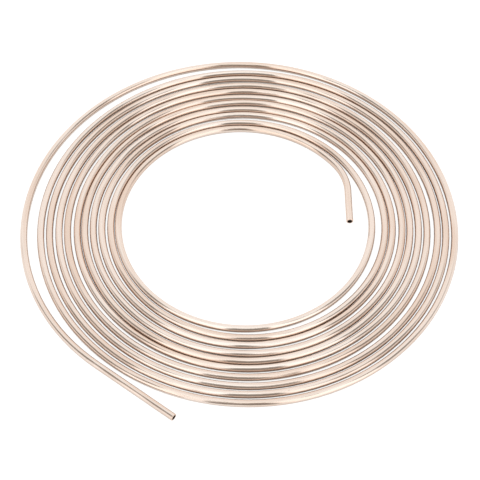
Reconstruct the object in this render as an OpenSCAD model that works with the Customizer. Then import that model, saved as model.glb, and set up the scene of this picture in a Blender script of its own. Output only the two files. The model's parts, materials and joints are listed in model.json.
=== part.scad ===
// Copper tube coil: one length of thin tube wound into a loose flat spiral, with both ends cut square and open.
// It lies on the floor at z = 0, with Z up and the origin in the middle of the space that it covers.
// The winding goes outwards and anticlockwise seen from above. Sizes are in millimetres, angles in degrees.

/* [Tube] */
// Outside diameter of the tube
tube_od = 4.75; // [3:0.05:8]
// Thickness of the tube's wall
tube_wall = 0.7; // [0.4:0.05:1.2]
// Edge taken off the outside of each cut end
end_chamfer = 0.2; // [0.05:0.05:0.3]

/* [Coil] */
// Whole turns between the two ends
turns = 10; // [3:1:16]
// Clear width inside the innermost whole turn
coil_bore = 166.25; // [130:0.25:260]
// Usual gap between neighbouring turns
turn_gap = 1.25; // [0.5:0.05:4]

/* [Inner end] */
// How much tighter than the innermost whole turn the tube starts
inner_tuck = 3; // [0:0.5:6]
// Radius of the bend between the straight inner end and the coil, on the tube's axis
inner_bend_r = 39; // [20:1:60]
// Length of the straight inner end
inner_straight = 26; // [8:1:40]

/* [Outer end] */
// Gap that the outer end leaves to the last whole turn where it passes the left
outer_gap = 6.5; // [0.5:0.25:20]
// Gap that it leaves where its straight length passes that turn
outer_straight_gap = 2.3; // [0.5:0.1:8]
// Length of the straight outer end
outer_straight = 61.5; // [10:0.5:120]

/* [Hidden] */
$fn = 96;

// Share of the usual gap that each turn leaves to the next one, from the inside out.
// The coil was wound by hand, so its gaps differ. A coil with more turns uses the lists again.
left_looseness = [0.2, 1, 0.8, 0.8, 0.2, 1.4, 0.8, 1.2, 1];
right_looseness = [3.2, 0.2, 1.4, 0.4, 0.8, 0.8, 1.8, 0.6, 1];

// Slopes of 3 in 4 and 4 in 3: the inner end's bend, and how far the outer end goes on round past the left
inner_angle = atan2(3, 4);
outer_angle = atan2(4, 3);

// Step that the reaches are rounded to, so that a half turn's radius and centre are whole thousandths
reach_step = 0.002;
// Angle that an arc is made too long by before it is cut square
arc_overrun = 1;

// How far the tube's axis reaches to the left and to the right of the innermost turn's centre, for turn n from 0 up
function rounded(x) = reach_step * round(x / reach_step);
function pitch(looseness, n) = tube_od + turn_gap * looseness[n % len(looseness)];
function reach(looseness, n) =
    rounded(n == 0 ? (coil_bore + tube_od) / 2 : reach(looseness, n - 1) + pitch(looseness, n - 1));
function left(n) = n < turns ? reach(left_looseness, n) : rounded(left(n - 1) + tube_od + outer_gap);
function right(n) = reach(right_looseness, n);

// Half turns: each front one runs from the left to the right, each back one from there to the next turn's left
function front_r(n) = (left(n) + right(n)) / 2;
function front_x(n) = (right(n) - left(n)) / 2;
function back_r(n) = (right(n) + left(n + 1)) / 2;
function back_x(n) = (right(n) - left(n + 1)) / 2;

last = turns - 1;
inner_r = left(0) - inner_tuck;

// The part turn past the left closes in on the last whole turn, just enough for the straight length's gap
closing_in = (outer_gap - outer_straight_gap) / (1 - cos(outer_angle));
outer_r = rounded(front_r(last) + tube_od + outer_gap - closing_in);
outer_x = outer_r - left(turns);

// Middle of the space that the coil covers: the outer end's cut corner is usually its foremost point
outer_corner = (outer_straight - end_chamfer) * cos(outer_angle) + tube_od / 2 * sin(outer_angle);
coil_front = max(outer_r * sin(outer_angle) + outer_corner, front_r(last) + tube_od / 2);
coil_back = back_r(last) + tube_od / 2;
middle_x = back_x(last);
middle_y = (coil_back - coil_front) / 2;

module tube_section() {
    difference() {
        circle(d = tube_od);
        circle(d = tube_od - 2 * tube_wall);
    }
}

// Arc of tube round the origin, anticlockwise from +X
module arc(r, angle) {
    rotate_extrude(angle = angle) translate([r, 0]) tube_section();
}

// Arc that is made a little too long and then cut square at its angle
module cut_arc(r, angle) {
    cutter = 2 * tube_od;
    difference() {
        arc(r, angle + arc_overrun);
        rotate([0, 0, angle]) translate([r - cutter / 2, 0, -cutter / 2]) cube(cutter);
    }
}

// Straight tube along +Y, plain where it meets the coil and chamfered at its cut end
module straight_end(length) {
    inside = tube_od / 2 - tube_wall;
    outside = tube_od / 2;
    rotate([-90, 0, 0])
        rotate_extrude()
            polygon([
                [inside, 0],
                [outside, 0],
                [outside, length - end_chamfer],
                [outside - end_chamfer, length],
                [inside, length]
            ]);
}

// First part turn, with the tighter bend and the straight end inside it
module inner_end() {
    translate([-inner_tuck, 0, 0]) rotate([0, 0, inner_angle]) {
        cut_arc(inner_r, 180 - inner_angle);
        translate([inner_r - inner_bend_r, 0, 0]) rotate([0, 0, -inner_angle]) {
            cut_arc(inner_bend_r, inner_angle);
            translate([inner_bend_r, 0, 0]) rotate([0, 0, 180]) straight_end(inner_straight);
        }
    }
}

// One whole turn: its front half turn and then its back one
module turn(n) {
    translate([front_x(n), 0, 0]) rotate([0, 0, 180]) arc(front_r(n), 180);
    translate([back_x(n), 0, 0]) arc(back_r(n), 180);
}

// Last part turn, past the left, which then runs out straight
module outer_end() {
    translate([outer_x, 0, 0]) rotate([0, 0, 180]) {
        cut_arc(outer_r, outer_angle);
        rotate([0, 0, outer_angle]) translate([outer_r, 0, 0]) straight_end(outer_straight);
    }
}

module copper_tube() {
    color("#d9bfae")
        translate([-middle_x, -middle_y, tube_od / 2]) {
            inner_end();
            for (n = [0 : last]) turn(n);
            outer_end();
        }
}

copper_tube();
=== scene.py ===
"""Copper tube coil: one length of thin drawn tube in a loose flat spiral, on a white studio floor."""

import json
import math

import bmesh
import bpy
from bpy.props import FloatProperty, FloatVectorProperty, IntProperty, PointerProperty
from mathutils import Matrix, Vector


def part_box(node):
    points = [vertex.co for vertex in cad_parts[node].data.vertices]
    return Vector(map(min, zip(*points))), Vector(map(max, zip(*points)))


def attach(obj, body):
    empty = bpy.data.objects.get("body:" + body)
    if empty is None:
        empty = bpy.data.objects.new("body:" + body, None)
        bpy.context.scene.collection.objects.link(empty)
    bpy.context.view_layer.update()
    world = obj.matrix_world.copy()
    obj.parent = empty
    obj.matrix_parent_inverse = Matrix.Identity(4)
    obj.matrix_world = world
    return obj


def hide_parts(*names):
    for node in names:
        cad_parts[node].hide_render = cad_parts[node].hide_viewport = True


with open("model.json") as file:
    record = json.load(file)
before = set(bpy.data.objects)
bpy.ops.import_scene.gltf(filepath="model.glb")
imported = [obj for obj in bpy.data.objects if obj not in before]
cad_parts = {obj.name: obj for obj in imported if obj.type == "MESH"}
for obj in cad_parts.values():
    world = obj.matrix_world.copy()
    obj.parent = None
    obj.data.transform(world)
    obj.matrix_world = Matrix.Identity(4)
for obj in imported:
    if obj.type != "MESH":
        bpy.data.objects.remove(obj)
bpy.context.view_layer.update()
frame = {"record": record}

bl_info = {
    "name": "Copper Tube Coil",
    "version": (1, 0, 0),
    "blender": (4, 5, 0),
    "location": "View3D > Sidebar > Tube Coil",
    "description": "Winds thin copper tube into a loose flat spiral and sets it on a studio floor",
    "category": "Add Mesh",
}

# Names that the frame gives
NODE = "copper_tube"
BODY = "root"

# Sizes in metres. The frame's mounts give the tube's diameter, and its straight ends without their chamfers
MM = 0.001
MOUNT_SIZES = {mount["name"]: mount["dims"] for mount in frame["record"]["mounts"]}
END_CHAMFER = 0.2 * MM
TUBE_OD = 2 * MM * MOUNT_SIZES["outer_end"]["r_mm"]
OUTER_STRAIGHT = MM * MOUNT_SIZES["outer_end"]["length_mm"] + END_CHAMFER
INNER_STRAIGHT = MM * MOUNT_SIZES["inner_end"]["length_mm"] + END_CHAMFER

# Points of neighbouring legs that are nearer than this are one point
JOIN = 0.001 * MM

# Mesh attribute that holds where a point would be if the tube were straightened: along it, across it and up
STRAIGHTENED = "straightened"

# Material slots of the wound tube
OUTSIDE = 0
CUT_FACE = 1
BORE = 2

# Squares along each side of the floor
FLOOR_SQUARES = 8

# Soft edges of the studio's lights, in degrees round from the camera's side of the coil
CAMERA_GAP_EDGE = (13, 22)
SOFTBOX_EDGE = (51, 79)
BACK_WALL_EDGE = (80, 132)

# Soft edges of the studio's lights, in degrees up from the floor
BOARD_EDGE = (24, 38)
COOL_EDGE = (46, 66)
CEILING_EDGE = (66, 76)

# Light without a tint
WHITE = (1, 1, 1, 1)


class CoilSizes(bpy.types.PropertyGroup):
    """Sizes of the tube and of the coil that it is wound into."""

    tube_od: FloatProperty(
        name="Tube diameter", description="Outside diameter of the tube",
        default=TUBE_OD, min=0, precision=5, unit="LENGTH")
    tube_wall: FloatProperty(
        name="Wall", description="Thickness of the tube's wall",
        default=0.7 * MM, min=0, precision=5, unit="LENGTH")
    end_chamfer: FloatProperty(
        name="End chamfer", description="Edge taken off the outside of each cut end",
        default=END_CHAMFER, min=0, precision=5, unit="LENGTH")
    turns: IntProperty(
        name="Turns", description="Whole turns between the two ends",
        default=10, min=1)
    coil_bore: FloatProperty(
        name="Coil bore", description="Clear width inside the innermost whole turn",
        default=166.25 * MM, min=0, precision=5, unit="LENGTH")
    turn_gap: FloatProperty(
        name="Turn gap", description="Usual gap between neighbouring turns",
        default=1.25 * MM, min=0, precision=5, unit="LENGTH")
    left_looseness: FloatVectorProperty(
        name="Left looseness",
        description="Share of the usual gap that each turn leaves to the next on the left",
        default=(0.2, 1, 0.8, 0.8, 0.2, 1.4, 0.8, 1.2, 1), size=9)
    right_looseness: FloatVectorProperty(
        name="Right looseness",
        description="Share of the usual gap that each turn leaves to the next on the right",
        default=(3.2, 0.2, 1.4, 0.4, 0.8, 0.8, 1.8, 0.6, 1), size=9)
    inner_tuck: FloatProperty(
        name="Inner tuck", description="How much tighter than the innermost whole turn the tube starts",
        default=3 * MM, min=0, precision=5, unit="LENGTH")
    inner_bend_r: FloatProperty(
        name="Inner bend", description="Radius of the bend next to the straight inner end",
        default=39 * MM, min=0, precision=5, unit="LENGTH")
    inner_angle: FloatProperty(
        name="Inner bend angle", description="How far the bend next to the straight inner end turns",
        default=math.atan2(3, 4), subtype="ANGLE")
    inner_straight: FloatProperty(
        name="Inner end", description="Length of the straight inner end",
        default=INNER_STRAIGHT, min=0, precision=5, unit="LENGTH")
    outer_gap: FloatProperty(
        name="Outer gap", description="Gap that the outer end leaves where it passes the left of the coil",
        default=6.5 * MM, min=0, precision=5, unit="LENGTH")
    outer_straight_gap: FloatProperty(
        name="Outer straight gap", description="Gap that the straight outer end leaves to the coil",
        default=2.3 * MM, min=0, precision=5, unit="LENGTH")
    outer_angle: FloatProperty(
        name="Outer angle", description="How far the outer end goes on round past the left of the coil",
        default=math.atan2(4, 3), subtype="ANGLE")
    outer_straight: FloatProperty(
        name="Outer end", description="Length of the straight outer end",
        default=OUTER_STRAIGHT, min=0, precision=5, unit="LENGTH")
    sides: IntProperty(
        name="Sides", description="Faces round the tube",
        default=28, min=8)
    arc_step: FloatProperty(
        name="Arc step", description="Angle between neighbouring rings where the tube is bent",
        default=math.radians(3), min=math.radians(0.5), subtype="ANGLE")


class CopperFinish(bpy.types.PropertyGroup):
    """Colours, gloss and fine relief of the copper."""

    pale: FloatVectorProperty(
        name="Pale copper", description="Clean drawn copper on the outside of the tube",
        default=(0.765, 0.66, 0.59), min=0, max=1, subtype="COLOR")
    deep: FloatVectorProperty(
        name="Deep copper", description="Slightly duller stretches of the outside",
        default=(0.67, 0.515, 0.42), min=0, max=1, subtype="COLOR")
    tarnish: FloatVectorProperty(
        name="Tarnish", description="Small specks where the copper has gone brown",
        default=(0.40, 0.27, 0.19), min=0, max=1, subtype="COLOR")
    edge_tint: FloatVectorProperty(
        name="Edge tint", description="Tint of what the tube mirrors at a glancing angle",
        default=(1.0, 0.95, 0.92), min=0, max=1, subtype="COLOR")
    fresh: FloatVectorProperty(
        name="Fresh cut", description="Newly cut copper on the end faces",
        default=(0.78, 0.58, 0.47), min=0, max=1, subtype="COLOR")
    # The bore's near-black colour is painted shade of the tube's hollow, not the colour of the copper there
    inside: FloatVectorProperty(
        name="Bore", description="Dull copper inside the tube",
        default=(0.022, 0.013, 0.009), min=0, max=1, subtype="COLOR")
    roughness: FloatProperty(
        name="Roughness", description="How soft the reflections on the outside are where it is cleanest",
        default=0.12, min=0, max=1, subtype="FACTOR")
    die_line_depth: FloatProperty(
        name="Die lines", description="Depth of the fine lines that the drawing die left along the tube",
        default=0.008 * MM, min=0, precision=6, unit="LENGTH")
    wave_depth: FloatProperty(
        name="Waves", description="Depth of the slight waves in the outside",
        default=0.14 * MM, min=0, precision=6, unit="LENGTH")
    bend_depth: FloatProperty(
        name="Hand bends", description="Depth of the long uneven bends that show in the reflections",
        default=5 * MM, min=0, precision=5, unit="LENGTH")
    grain_depth: FloatProperty(
        name="Grain", description="Depth of the cutting rings on the end faces and of the scale in the bore",
        default=0.02 * MM, min=0, precision=6, unit="LENGTH")


class StudioSetup(bpy.types.PropertyGroup):
    """The camera's place, the floor and the light round the coil."""

    aim: FloatVectorProperty(
        name="Aim", description="Point on the floor that the camera looks at",
        default=(0.0005, -0.012, 0), precision=4, subtype="TRANSLATION")
    camera_distance: FloatProperty(
        name="Camera distance", description="From the camera to the point that it looks at",
        default=0.8735, min=0, precision=4, unit="LENGTH")
    camera_angle: FloatProperty(
        name="Camera angle", description="How steeply the camera looks down",
        default=math.radians(53.93), subtype="ANGLE")
    lens: FloatProperty(
        name="Lens", description="Focal length of the camera",
        default=97.7, min=1, unit="CAMERA")
    floor_width: FloatProperty(
        name="Floor width", description="Width of the floor",
        default=16, min=0, unit="LENGTH")
    floor_colour: FloatVectorProperty(
        name="Floor colour", description="Colour of the floor under the light that falls on it",
        default=(0.27, 0.27, 0.27), min=0, max=1, subtype="COLOR")
    floor_glow: FloatProperty(
        name="Floor glow", description="White that the floor adds to its own colour, as a light table does",
        default=0.88, min=0, max=1, subtype="FACTOR")
    # Painted shade: these two set how ambient occlusion dims the floor's glow that the metal mirrors, near
    # and between the turns
    crevice_height: FloatProperty(
        name="Crevice height",
        description="How far over the floor the tube still dims the glow that the metal mirrors",
        default=8 * MM, min=0, precision=4, unit="LENGTH")
    crevice_fade: FloatProperty(
        name="Crevice fade", description="How strongly that glow fades where the turns close over the floor",
        default=0.65, min=0)
    side_light: FloatProperty(
        name="Side light", description="Brightness of the dim sides and of the gap round the camera",
        default=0.35, min=0)
    side_tint: FloatVectorProperty(
        name="Side tint", description="Slightly warm colour of the dim sides",
        default=(1, 0.93, 0.86), min=0, max=1, subtype="COLOR")
    back_light: FloatProperty(
        name="Back light", description="Brightness of the white wall behind the coil",
        default=1.23, min=0)
    ceiling_light: FloatProperty(
        name="Ceiling light", description="Brightness of the white ceiling over the coil",
        default=1.42, min=0)
    board_light: FloatProperty(
        name="Board light", description="Brightness of the low white boards round the sides",
        default=1.15, min=0)
    front_light: FloatProperty(
        name="Front light", description="Brightness of the two tall softboxes beside the camera",
        default=1.7, min=0)
    high_tint: FloatVectorProperty(
        name="High tint", description="Slightly cool colour of the light that comes from high up",
        default=(0.98, 1.045, 1.075), min=0, subtype="COLOR")


class Straight:
    """A straight length of tube. Its turn says how far it heads away from +Y, anticlockwise."""

    def __init__(self, start, turn, length):
        self.start = start
        self.turn = turn
        self.length = length
        self.heading = Matrix.Rotation(turn, 3, "Z") @ Vector((0, 1, 0))

    def draw(self, bm):
        """Draws the ring that starts this length on to its far end."""
        made = bmesh.ops.extrude_edge_only(bm, edges=bm.edges[:])["geom"]
        verts = [item for item in made if isinstance(item, bmesh.types.BMVert)]
        bmesh.ops.translate(bm, verts=verts, vec=self.heading * self.length)

    def unbend(self, point):
        """How far along, across and up from the start of this length's axis a point is."""
        arm = point - self.start
        return arm.dot(self.heading), arm.cross(self.heading).z, arm.z


class Arc:
    """A bent length of tube, anticlockwise round a centre. Its turn is also where on the circle it starts."""

    def __init__(self, centre, radius, turn, angle, step):
        self.centre = centre
        self.radius = radius
        self.turn = turn
        self.angle = angle
        self.steps = math.ceil(angle / step)
        self.length = radius * angle
        self.start = centre + Matrix.Rotation(turn, 3, "Z") @ Vector((radius, 0, 0))

    def draw(self, bm):
        """Spins the ring that starts this length round to its far end."""
        bmesh.ops.spin(
            bm, geom=bm.edges[:], cent=self.centre, axis=(0, 0, 1), angle=self.angle, steps=self.steps)

    def unbend(self, point):
        """How far along, across and up from its start a point would be if this length were straight."""
        arm = point - self.centre
        half = self.angle / 2
        turned = half + math.remainder(math.atan2(arm.y, arm.x) - self.turn - half, math.tau)
        return self.radius * turned, arm.xy.length - self.radius, arm.z


class Winding:
    """The line that the tube's axis follows: half turns that meet on one line, and the two ends."""

    def __init__(self, sizes):
        self.sizes = sizes
        self.left = self.reaches(sizes.left_looseness)
        self.right = self.reaches(sizes.right_looseness)
        # The outer end passes the left once more than the whole turns do
        self.left.append(self.left[-1] + sizes.tube_od + sizes.outer_gap)
        self.centre = self.seat()

    def reaches(self, looseness):
        """How far each turn's axis is from the middle of the coil, on one side of it."""
        sizes = self.sizes
        found = [(sizes.coil_bore + sizes.tube_od) / 2]
        for n in range(sizes.turns - 1):
            gap = sizes.turn_gap * looseness[n % len(looseness)]
            found.append(found[-1] + sizes.tube_od + gap)
        return found

    def seat(self):
        """Middle of the innermost turn, where the frame's own solid has it."""
        low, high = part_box(NODE)
        half_tube = self.sizes.tube_od / 2
        back_r = (self.left[-1] + self.right[-1]) / 2
        return Vector((
            high.x - self.right[-1] - half_tube,
            high.y - back_r - half_tube,
            (low.z + high.z) / 2))

    def arc(self, x, y, radius, turn, angle):
        """An arc round a point that is given from the middle of the innermost turn."""
        return Arc(self.centre + Vector((x, y, 0)), radius, turn, angle, self.sizes.arc_step)

    def half_turn(self, left, right, turn):
        """Half a turn between a reach on the left and one on the right."""
        return self.arc((right - left) / 2, 0, (right + left) / 2, turn, math.pi)

    def legs(self):
        """The tube's straight lengths and arcs, from its inner cut end to its outer one."""
        sizes = self.sizes
        inner_r = self.left[0] - sizes.inner_tuck
        bend_arm = inner_r - sizes.inner_bend_r
        bend_x = bend_arm * math.cos(sizes.inner_angle) - sizes.inner_tuck
        bend_y = bend_arm * math.sin(sizes.inner_angle)
        inner_end = Vector((bend_x + sizes.inner_bend_r, bend_y - sizes.inner_straight, 0))
        closing_in = (sizes.outer_gap - sizes.outer_straight_gap) / (1 - math.cos(sizes.outer_angle))
        last_front_r = (self.left[-2] + self.right[-1]) / 2
        outer_r = last_front_r + sizes.tube_od + sizes.outer_gap - closing_in
        outer_x = outer_r - self.left[-1]
        outer_turn = math.pi + sizes.outer_angle
        outer_start = Vector((outer_x + outer_r * math.cos(outer_turn), outer_r * math.sin(outer_turn), 0))

        yield Straight(self.centre + inner_end, 0, sizes.inner_straight)
        yield self.arc(bend_x, bend_y, sizes.inner_bend_r, 0, sizes.inner_angle)
        yield self.arc(-sizes.inner_tuck, 0, inner_r, sizes.inner_angle, math.pi - sizes.inner_angle)
        for n in range(sizes.turns):
            yield self.half_turn(self.left[n], self.right[n], math.pi)
            yield self.half_turn(self.left[n + 1], self.right[n], 0)
        yield self.arc(outer_x, 0, outer_r, math.pi, sizes.outer_angle)
        yield Straight(self.centre + outer_start, outer_turn, sizes.outer_straight)


def leg_surface(leg, radius, sides, run, slot):
    """The surface that a ring of edges leaves along one leg, which starts after a run of tube, as a mesh."""
    bm = bmesh.new()
    straightened = bm.verts.layers.float_vector.new(STRAIGHTENED)
    across_tube = Matrix.Rotation(leg.turn, 4, "Z") @ Matrix.Rotation(math.pi / 2, 4, "X")
    start = Matrix.Translation(leg.start) @ across_tube
    bmesh.ops.create_circle(bm, segments=sides, radius=radius, matrix=start)
    leg.draw(bm)
    for vert in bm.verts:
        along, across, up = leg.unbend(vert.co)
        vert[straightened] = (run + along, across, up)
    for face in bm.faces:
        face.material_index = slot
    mesh = bpy.data.meshes.new("leg")
    bm.to_mesh(mesh)
    bm.free()
    return mesh


def draw_legs(bm, sizes):
    """Adds the tube's outside and its bore, leg by leg, and gives the tube's length."""
    outside_r = sizes.tube_od / 2
    run = 0
    for leg in Winding(sizes).legs():
        for radius, slot in ((outside_r, OUTSIDE), (outside_r - sizes.tube_wall, BORE)):
            surface = leg_surface(leg, radius, sizes.sides, run, slot)
            bm.from_mesh(surface)
            bpy.data.meshes.remove(surface)
        run += leg.length
    bmesh.ops.remove_doubles(bm, verts=bm.verts, dist=JOIN)
    bmesh.ops.reverse_faces(bm, faces=[face for face in bm.faces if face.material_index == BORE])
    return run


def cut_ends(bm, tube_length, chamfer):
    """Closes the wall with a flat face at each end of the tube, and takes the edge off its outside."""
    straightened = bm.verts.layers.float_vector[STRAIGHTENED]
    rings = [edge for edge in bm.edges if edge.is_boundary]
    rims = [edge for edge in rings if edge.link_faces[0].material_index == OUTSIDE]
    inner_rings = [edge for edge in rings if edge.verts[0][straightened].x < tube_length / 2]
    outer_rings = [edge for edge in rings if edge.verts[0][straightened].x > tube_length / 2]
    walls = []
    for end_rings in (inner_rings, outer_rings):
        walls += bmesh.ops.bridge_loops(bm, edges=end_rings)["faces"]
    for face in walls:
        face.material_index = CUT_FACE
    chamfers = bmesh.ops.bevel(
        bm, geom=rims, offset=chamfer, offset_type="OFFSET", segments=1, profile=0.5,
        affect="EDGES", material=-1)["faces"]
    for face in chamfers:
        face.material_index = CUT_FACE


def wound_tube(sizes):
    """The whole tube as one closed mesh: its outside, its bore and its two chamfered cut faces."""
    bm = bmesh.new()
    tube_length = draw_legs(bm, sizes)
    cut_ends(bm, tube_length, sizes.end_chamfer)
    bmesh.ops.recalc_face_normals(bm, faces=bm.faces)
    for face in bm.faces:
        face.smooth = face.material_index != CUT_FACE
    for edge in bm.edges:
        edge.smooth = all(face.smooth for face in edge.link_faces)
    mesh = bpy.data.meshes.new("wound_tube")
    bm.to_mesh(mesh)
    bm.free()
    return mesh


class Sock:
    """A node's output. Sums on it add Math nodes to its tree."""

    def __init__(self, graph, socket):
        self.graph = graph
        self.socket = socket

    def __add__(self, other):
        return self.graph.math("ADD", self, other)

    __radd__ = __add__

    def __rsub__(self, other):
        return self.graph.math("SUBTRACT", other, self)

    def __mul__(self, other):
        return self.graph.math("MULTIPLY", self, other)

    __rmul__ = __mul__

    def __pow__(self, other):
        return self.graph.math("POWER", self, other)

    def __abs__(self):
        return self.graph.math("ABSOLUTE", self)

    def __neg__(self):
        return self.graph.math("MULTIPLY", self, -1)


class Graph:
    """A node tree that is filled from Python."""

    def __init__(self, owner):
        owner.use_nodes = True
        self.tree = owner.node_tree
        self.tree.nodes.clear()

    def add(self, kind, settings, sockets, output=0):
        """Adds a node with its settings and then the values or links of its sockets, and gives one output."""
        node = self.tree.nodes.new(kind)
        for name, value in settings.items():
            setattr(node, name, value)
        for key, value in sockets.items():
            socket = self.find(node.inputs, key)
            if isinstance(value, Sock):
                self.tree.links.new(value.socket, socket)
            else:
                socket.default_value = value
        return Sock(self, self.find(node.outputs, output)) if node.outputs else None

    @staticmethod
    def find(sockets, key):
        """A socket by its number or its identifier."""
        if isinstance(key, int):
            return sockets[key]
        return next(socket for socket in sockets if socket.identifier == key)

    def math(self, operation, *values):
        """A Math node on one value or more."""
        return self.add("ShaderNodeMath", {"operation": operation}, dict(enumerate(values)))

    def vector(self, operation, *values, output=0):
        """A Vector Math node on one vector or more."""
        return self.add("ShaderNodeVectorMath", {"operation": operation}, dict(enumerate(values)), output)

    def mix(self, factor, first, second):
        """A colour between two others."""
        return self.add(
            "ShaderNodeMix", {"data_type": "RGBA"},
            {"Factor_Float": factor, "A_Color": first, "B_Color": second}, "Result_Color")

    def rise(self, value, low, high):
        """A smooth step from 0 at the low value to 1 at the high one."""
        return self.add(
            "ShaderNodeMapRange", {"interpolation_type": "SMOOTHSTEP"},
            {"Value": value, "From Min": low, "From Max": high}, "Result")

    def noise(self, place, detail):
        """Noise from 0 to 1, about one lump to each unit of the place."""
        return self.add("ShaderNodeTexNoise", {}, {"Vector": place, "Scale": 1.0, "Detail": detail})

    def bump(self, height, depth, under=None):
        """A normal, over another one, tilted by a height from 0 to 1 that stands for a depth in metres."""
        sockets = {"Strength": 1.0, "Distance": depth, "Height": height}
        if under:
            sockets["Normal"] = under
        return self.add("ShaderNodeBump", {}, sockets)

    def surface(self, **sockets):
        """A Principled surface on the material's output. An underscore in a name stands for a space."""
        named = {name.replace("_", " "): value for name, value in sockets.items()}
        shader = self.add("ShaderNodeBsdfPrincipled", {}, named)
        self.add("ShaderNodeOutputMaterial", {}, {"Surface": shader})


def rgba(colour):
    """A colour with full alpha."""
    return (*colour, 1.0)


def along_tube(graph, lengthwise, crosswise):
    """The straightened place, stretched so that a pattern has this many lumps to a metre each way."""
    place = graph.add("ShaderNodeAttribute", {"attribute_name": STRAIGHTENED}, {}, "Vector")
    return graph.vector("MULTIPLY", place, (lengthwise, crosswise, crosswise))


def marks(graph, lengthwise, crosswise, detail, low, high):
    """Marks on the tube, this many to a metre each way, that fade in as noise goes from low to high."""
    return graph.rise(graph.noise(along_tube(graph, lengthwise, crosswise), detail), low, high)


def drawn_copper(finish):
    """Outside of the tube: fine die lines, slight waves and bends, dull stretches and brown specks."""
    material = bpy.data.materials.new("drawn copper")
    graph = Graph(material)
    die_lines = graph.noise(along_tube(graph, lengthwise=6, crosswise=2600), detail=3)
    waves = graph.noise(along_tube(graph, lengthwise=22, crosswise=260), detail=2)
    bends = graph.noise(along_tube(graph, lengthwise=18, crosswise=30), detail=1)
    lines = graph.rise(die_lines, low=0.35, high=0.65)
    dull = marks(graph, lengthwise=14, crosswise=240, detail=4, low=0.35, high=0.7)
    handled = marks(graph, lengthwise=60, crosswise=420, detail=5, low=0.45, high=0.75)
    specks = marks(graph, lengthwise=700, crosswise=1100, detail=2, low=0.7, high=0.8)
    clean = graph.mix(0.7 * dull + 0.35 * lines, rgba(finish.pale), rgba(finish.deep))
    normal = graph.bump(bends, finish.bend_depth)
    normal = graph.bump(waves, finish.wave_depth, normal)
    normal = graph.bump(die_lines, finish.die_line_depth, normal)
    graph.surface(
        Base_Color=graph.mix(0.5 * specks, clean, rgba(finish.tarnish)),
        Metallic=1.0,
        Specular_Tint=rgba(finish.edge_tint),
        Roughness=finish.roughness + 0.06 * lines + 0.07 * handled + 0.15 * specks,
        Normal=normal)
    return material


def cut_copper(finish):
    """Cut faces: bright copper with the fine rings that a cutting wheel leaves."""
    material = bpy.data.materials.new("cut copper")
    graph = Graph(material)
    radius = graph.vector("LENGTH", along_tube(graph, lengthwise=0, crosswise=9000), output="Value")
    rings = graph.noise(radius, detail=2)
    smears = graph.noise(along_tube(graph, lengthwise=900, crosswise=900), detail=3)
    graph.surface(
        Base_Color=graph.mix(smears, rgba(finish.fresh), rgba(finish.deep)),
        Metallic=1.0,
        Roughness=0.26 + 0.16 * smears,
        Normal=graph.bump(rings, finish.grain_depth))
    return material


def bore_shade_and_scale(finish):
    """Inside of the tube: dull and dark, with a little scale."""
    material = bpy.data.materials.new("bore shade and scale")
    graph = Graph(material)
    scale = graph.noise(along_tube(graph, lengthwise=500, crosswise=900), detail=4)
    graph.surface(
        # Painted shade: the near-black base stands in for the shade deep in the bore; the scale mixed over it
        # is a real mark
        Base_Color=graph.mix(0.15 * scale, rgba(finish.inside), rgba(finish.tarnish)),
        Metallic=0.3,
        Specular_IOR_Level=0.2,
        Roughness=0.6 + 0.25 * scale,
        Normal=graph.bump(scale, finish.grain_depth))
    return material


def white_floor(studio):
    """White floor that glows as a light table does, less for the metal where the tube closes over it."""
    material = bpy.data.materials.new("white floor")
    graph = Graph(material)
    to_camera, to_metal, to_glass = (
        graph.add("ShaderNodeLightPath", {}, {}, f"Is {kind} Ray")
        for kind in ("Camera", "Glossy", "Transmission"))
    # Painted shade: ambient occlusion darkens the glow that glossy rays see in the crevices under and between
    # the turns
    crevice_painted_shade = graph.add(
        "ShaderNodeAmbientOcclusion", {"samples": 8}, {"Distance": studio.crevice_height}, "AO")
    seen = to_camera + to_metal * crevice_painted_shade ** studio.crevice_fade + to_glass
    graph.surface(
        Base_Color=rgba(studio.floor_colour),
        Roughness=0.9,
        Specular_IOR_Level=0.0,
        Emission_Color=seen * studio.floor_glow,
        Emission_Strength=1.0)
    return material


def floor(studio):
    """A wide level floor under the coil."""
    bm = bmesh.new()
    bmesh.ops.create_grid(
        bm, x_segments=FLOOR_SQUARES, y_segments=FLOOR_SQUARES, size=studio.floor_width / 2)
    mesh = bpy.data.meshes.new("studio_floor")
    bm.to_mesh(mesh)
    bm.free()
    mesh.materials.append(white_floor(studio))
    return bpy.data.objects.new("studio_floor", mesh)


def studio_light(studio):
    """Light from far off: a cool ceiling, a back wall, two tall softboxes, low boards and dim warm sides."""
    world = bpy.data.worlds.new("studio light")
    graph = Graph(world)
    direction = graph.add("ShaderNodeTexCoord", {}, {}, "Generated")
    x, y, z = (graph.add("ShaderNodeSeparateXYZ", {}, {0: direction}, axis) for axis in "XYZ")
    side = abs(graph.math("ARCTAN2", x, -y))
    height = graph.math("ARCSINE", z)

    def past(angle, edge):
        """A smooth step over an edge that starts and ends at angles in degrees."""
        start, end = edge
        return graph.rise(angle, math.radians(start), math.radians(end))

    clear_of_camera = past(side, CAMERA_GAP_EDGE)
    softboxes = clear_of_camera * (1 - past(side, SOFTBOX_EDGE))
    boards = clear_of_camera * (1 - past(height, BOARD_EDGE))
    back_wall = past(side, BACK_WALL_EDGE)
    lights = (back_wall * studio.back_light, softboxes * studio.front_light, boards * studio.board_light)
    walls = studio.side_light
    for light in lights:
        walls = graph.math("MAXIMUM", walls, light)
    ceiling = past(height, CEILING_EDGE)
    level = ceiling * studio.ceiling_light + (1 - ceiling) * walls

    bright_tint = graph.mix(past(height, COOL_EDGE), WHITE, rgba(studio.high_tint))
    brightness = graph.rise(level, low=studio.side_light, high=1)
    tint = graph.mix(brightness, rgba(studio.side_tint), bright_tint)
    background = graph.add("ShaderNodeBackground", {}, {"Color": tint, "Strength": level})
    graph.add("ShaderNodeOutputWorld", {}, {"Surface": background})
    return world


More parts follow.
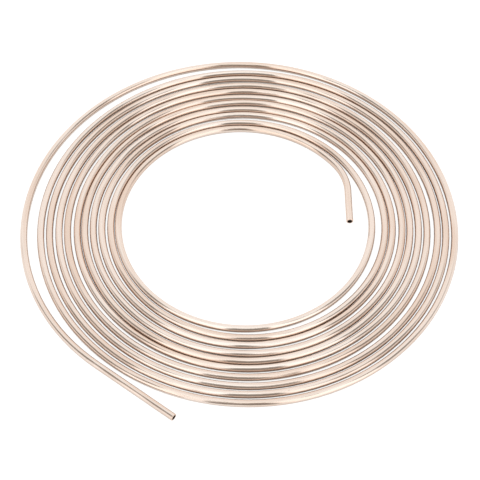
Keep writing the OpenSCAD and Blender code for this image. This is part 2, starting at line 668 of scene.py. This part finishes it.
def camera(studio):
    """A camera that looks down on the coil from the front."""
    data = bpy.data.cameras.new("studio_camera")
    data.lens = studio.lens
    eye = bpy.data.objects.new("studio_camera", data)
    back = Vector((0, -math.cos(studio.camera_angle), math.sin(studio.camera_angle)))
    eye.location = Vector(studio.aim) + studio.camera_distance * back
    eye.rotation_euler = (math.pi / 2 - studio.camera_angle, 0, 0)
    return eye


class COIL_OT_wind_tube(bpy.types.Operator):
    """Winds the copper tube where the frame has its solid"""

    bl_idname = "coil.wind_tube"
    bl_label = "Wind the Tube"

    def execute(self, context):
        finish = context.scene.copper_finish
        mesh = wound_tube(context.scene.coil_sizes)
        for material in (drawn_copper(finish), cut_copper(finish), bore_shade_and_scale(finish)):
            mesh.materials.append(material)
        tube = bpy.data.objects.new("wound_tube", mesh)
        context.scene.collection.objects.link(tube)
        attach(tube, BODY)
        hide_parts(NODE)
        return {"FINISHED"}


class COIL_OT_set_stage(bpy.types.Operator):
    """Lays the floor, lights it and sets up the camera"""

    bl_idname = "coil.set_stage"
    bl_label = "Set the Stage"

    def execute(self, context):
        scene = context.scene
        studio = scene.coil_studio
        ground = floor(studio)
        scene.collection.objects.link(ground)
        scene.world = studio_light(studio)
        scene.camera = camera(studio)
        scene.collection.objects.link(scene.camera)
        scene.view_settings.view_transform = "Standard"
        return {"FINISHED"}


class VIEW3D_PT_tube_coil(bpy.types.Panel):
    """Lists the steps that make the coil, and its settings"""

    bl_label = "Copper Tube Coil"
    bl_space_type = "VIEW_3D"
    bl_region_type = "UI"
    bl_category = "Tube Coil"

    def draw(self, context):
        for operator in OPERATORS:
            self.layout.operator(operator.bl_idname)
        for name, group in SETTINGS.items():
            column = self.layout.column(heading=group.__doc__)
            for prop in group.__annotations__:
                column.prop(getattr(context.scene, name), prop)


SETTINGS = {"coil_sizes": CoilSizes, "copper_finish": CopperFinish, "coil_studio": StudioSetup}
OPERATORS = (COIL_OT_wind_tube, COIL_OT_set_stage)
CLASSES = (*SETTINGS.values(), *OPERATORS, VIEW3D_PT_tube_coil)


def register():
    """Adds the classes to Blender, and the settings to its scenes."""
    for cls in CLASSES:
        bpy.utils.register_class(cls)
    for name, group in SETTINGS.items():
        setattr(bpy.types.Scene, name, PointerProperty(type=group))


def unregister():
    """Takes out what register added."""
    for name in SETTINGS:
        delattr(bpy.types.Scene, name)
    for cls in reversed(CLASSES):
        bpy.utils.unregister_class(cls)


def main():
    """Makes the coil and its studio, and notes the boxes of the frame's model and of the finished one."""
    register()
    bpy.ops.coil.wind_tube()
    bpy.ops.coil.set_stage()


if __name__ == "__main__":
    main()
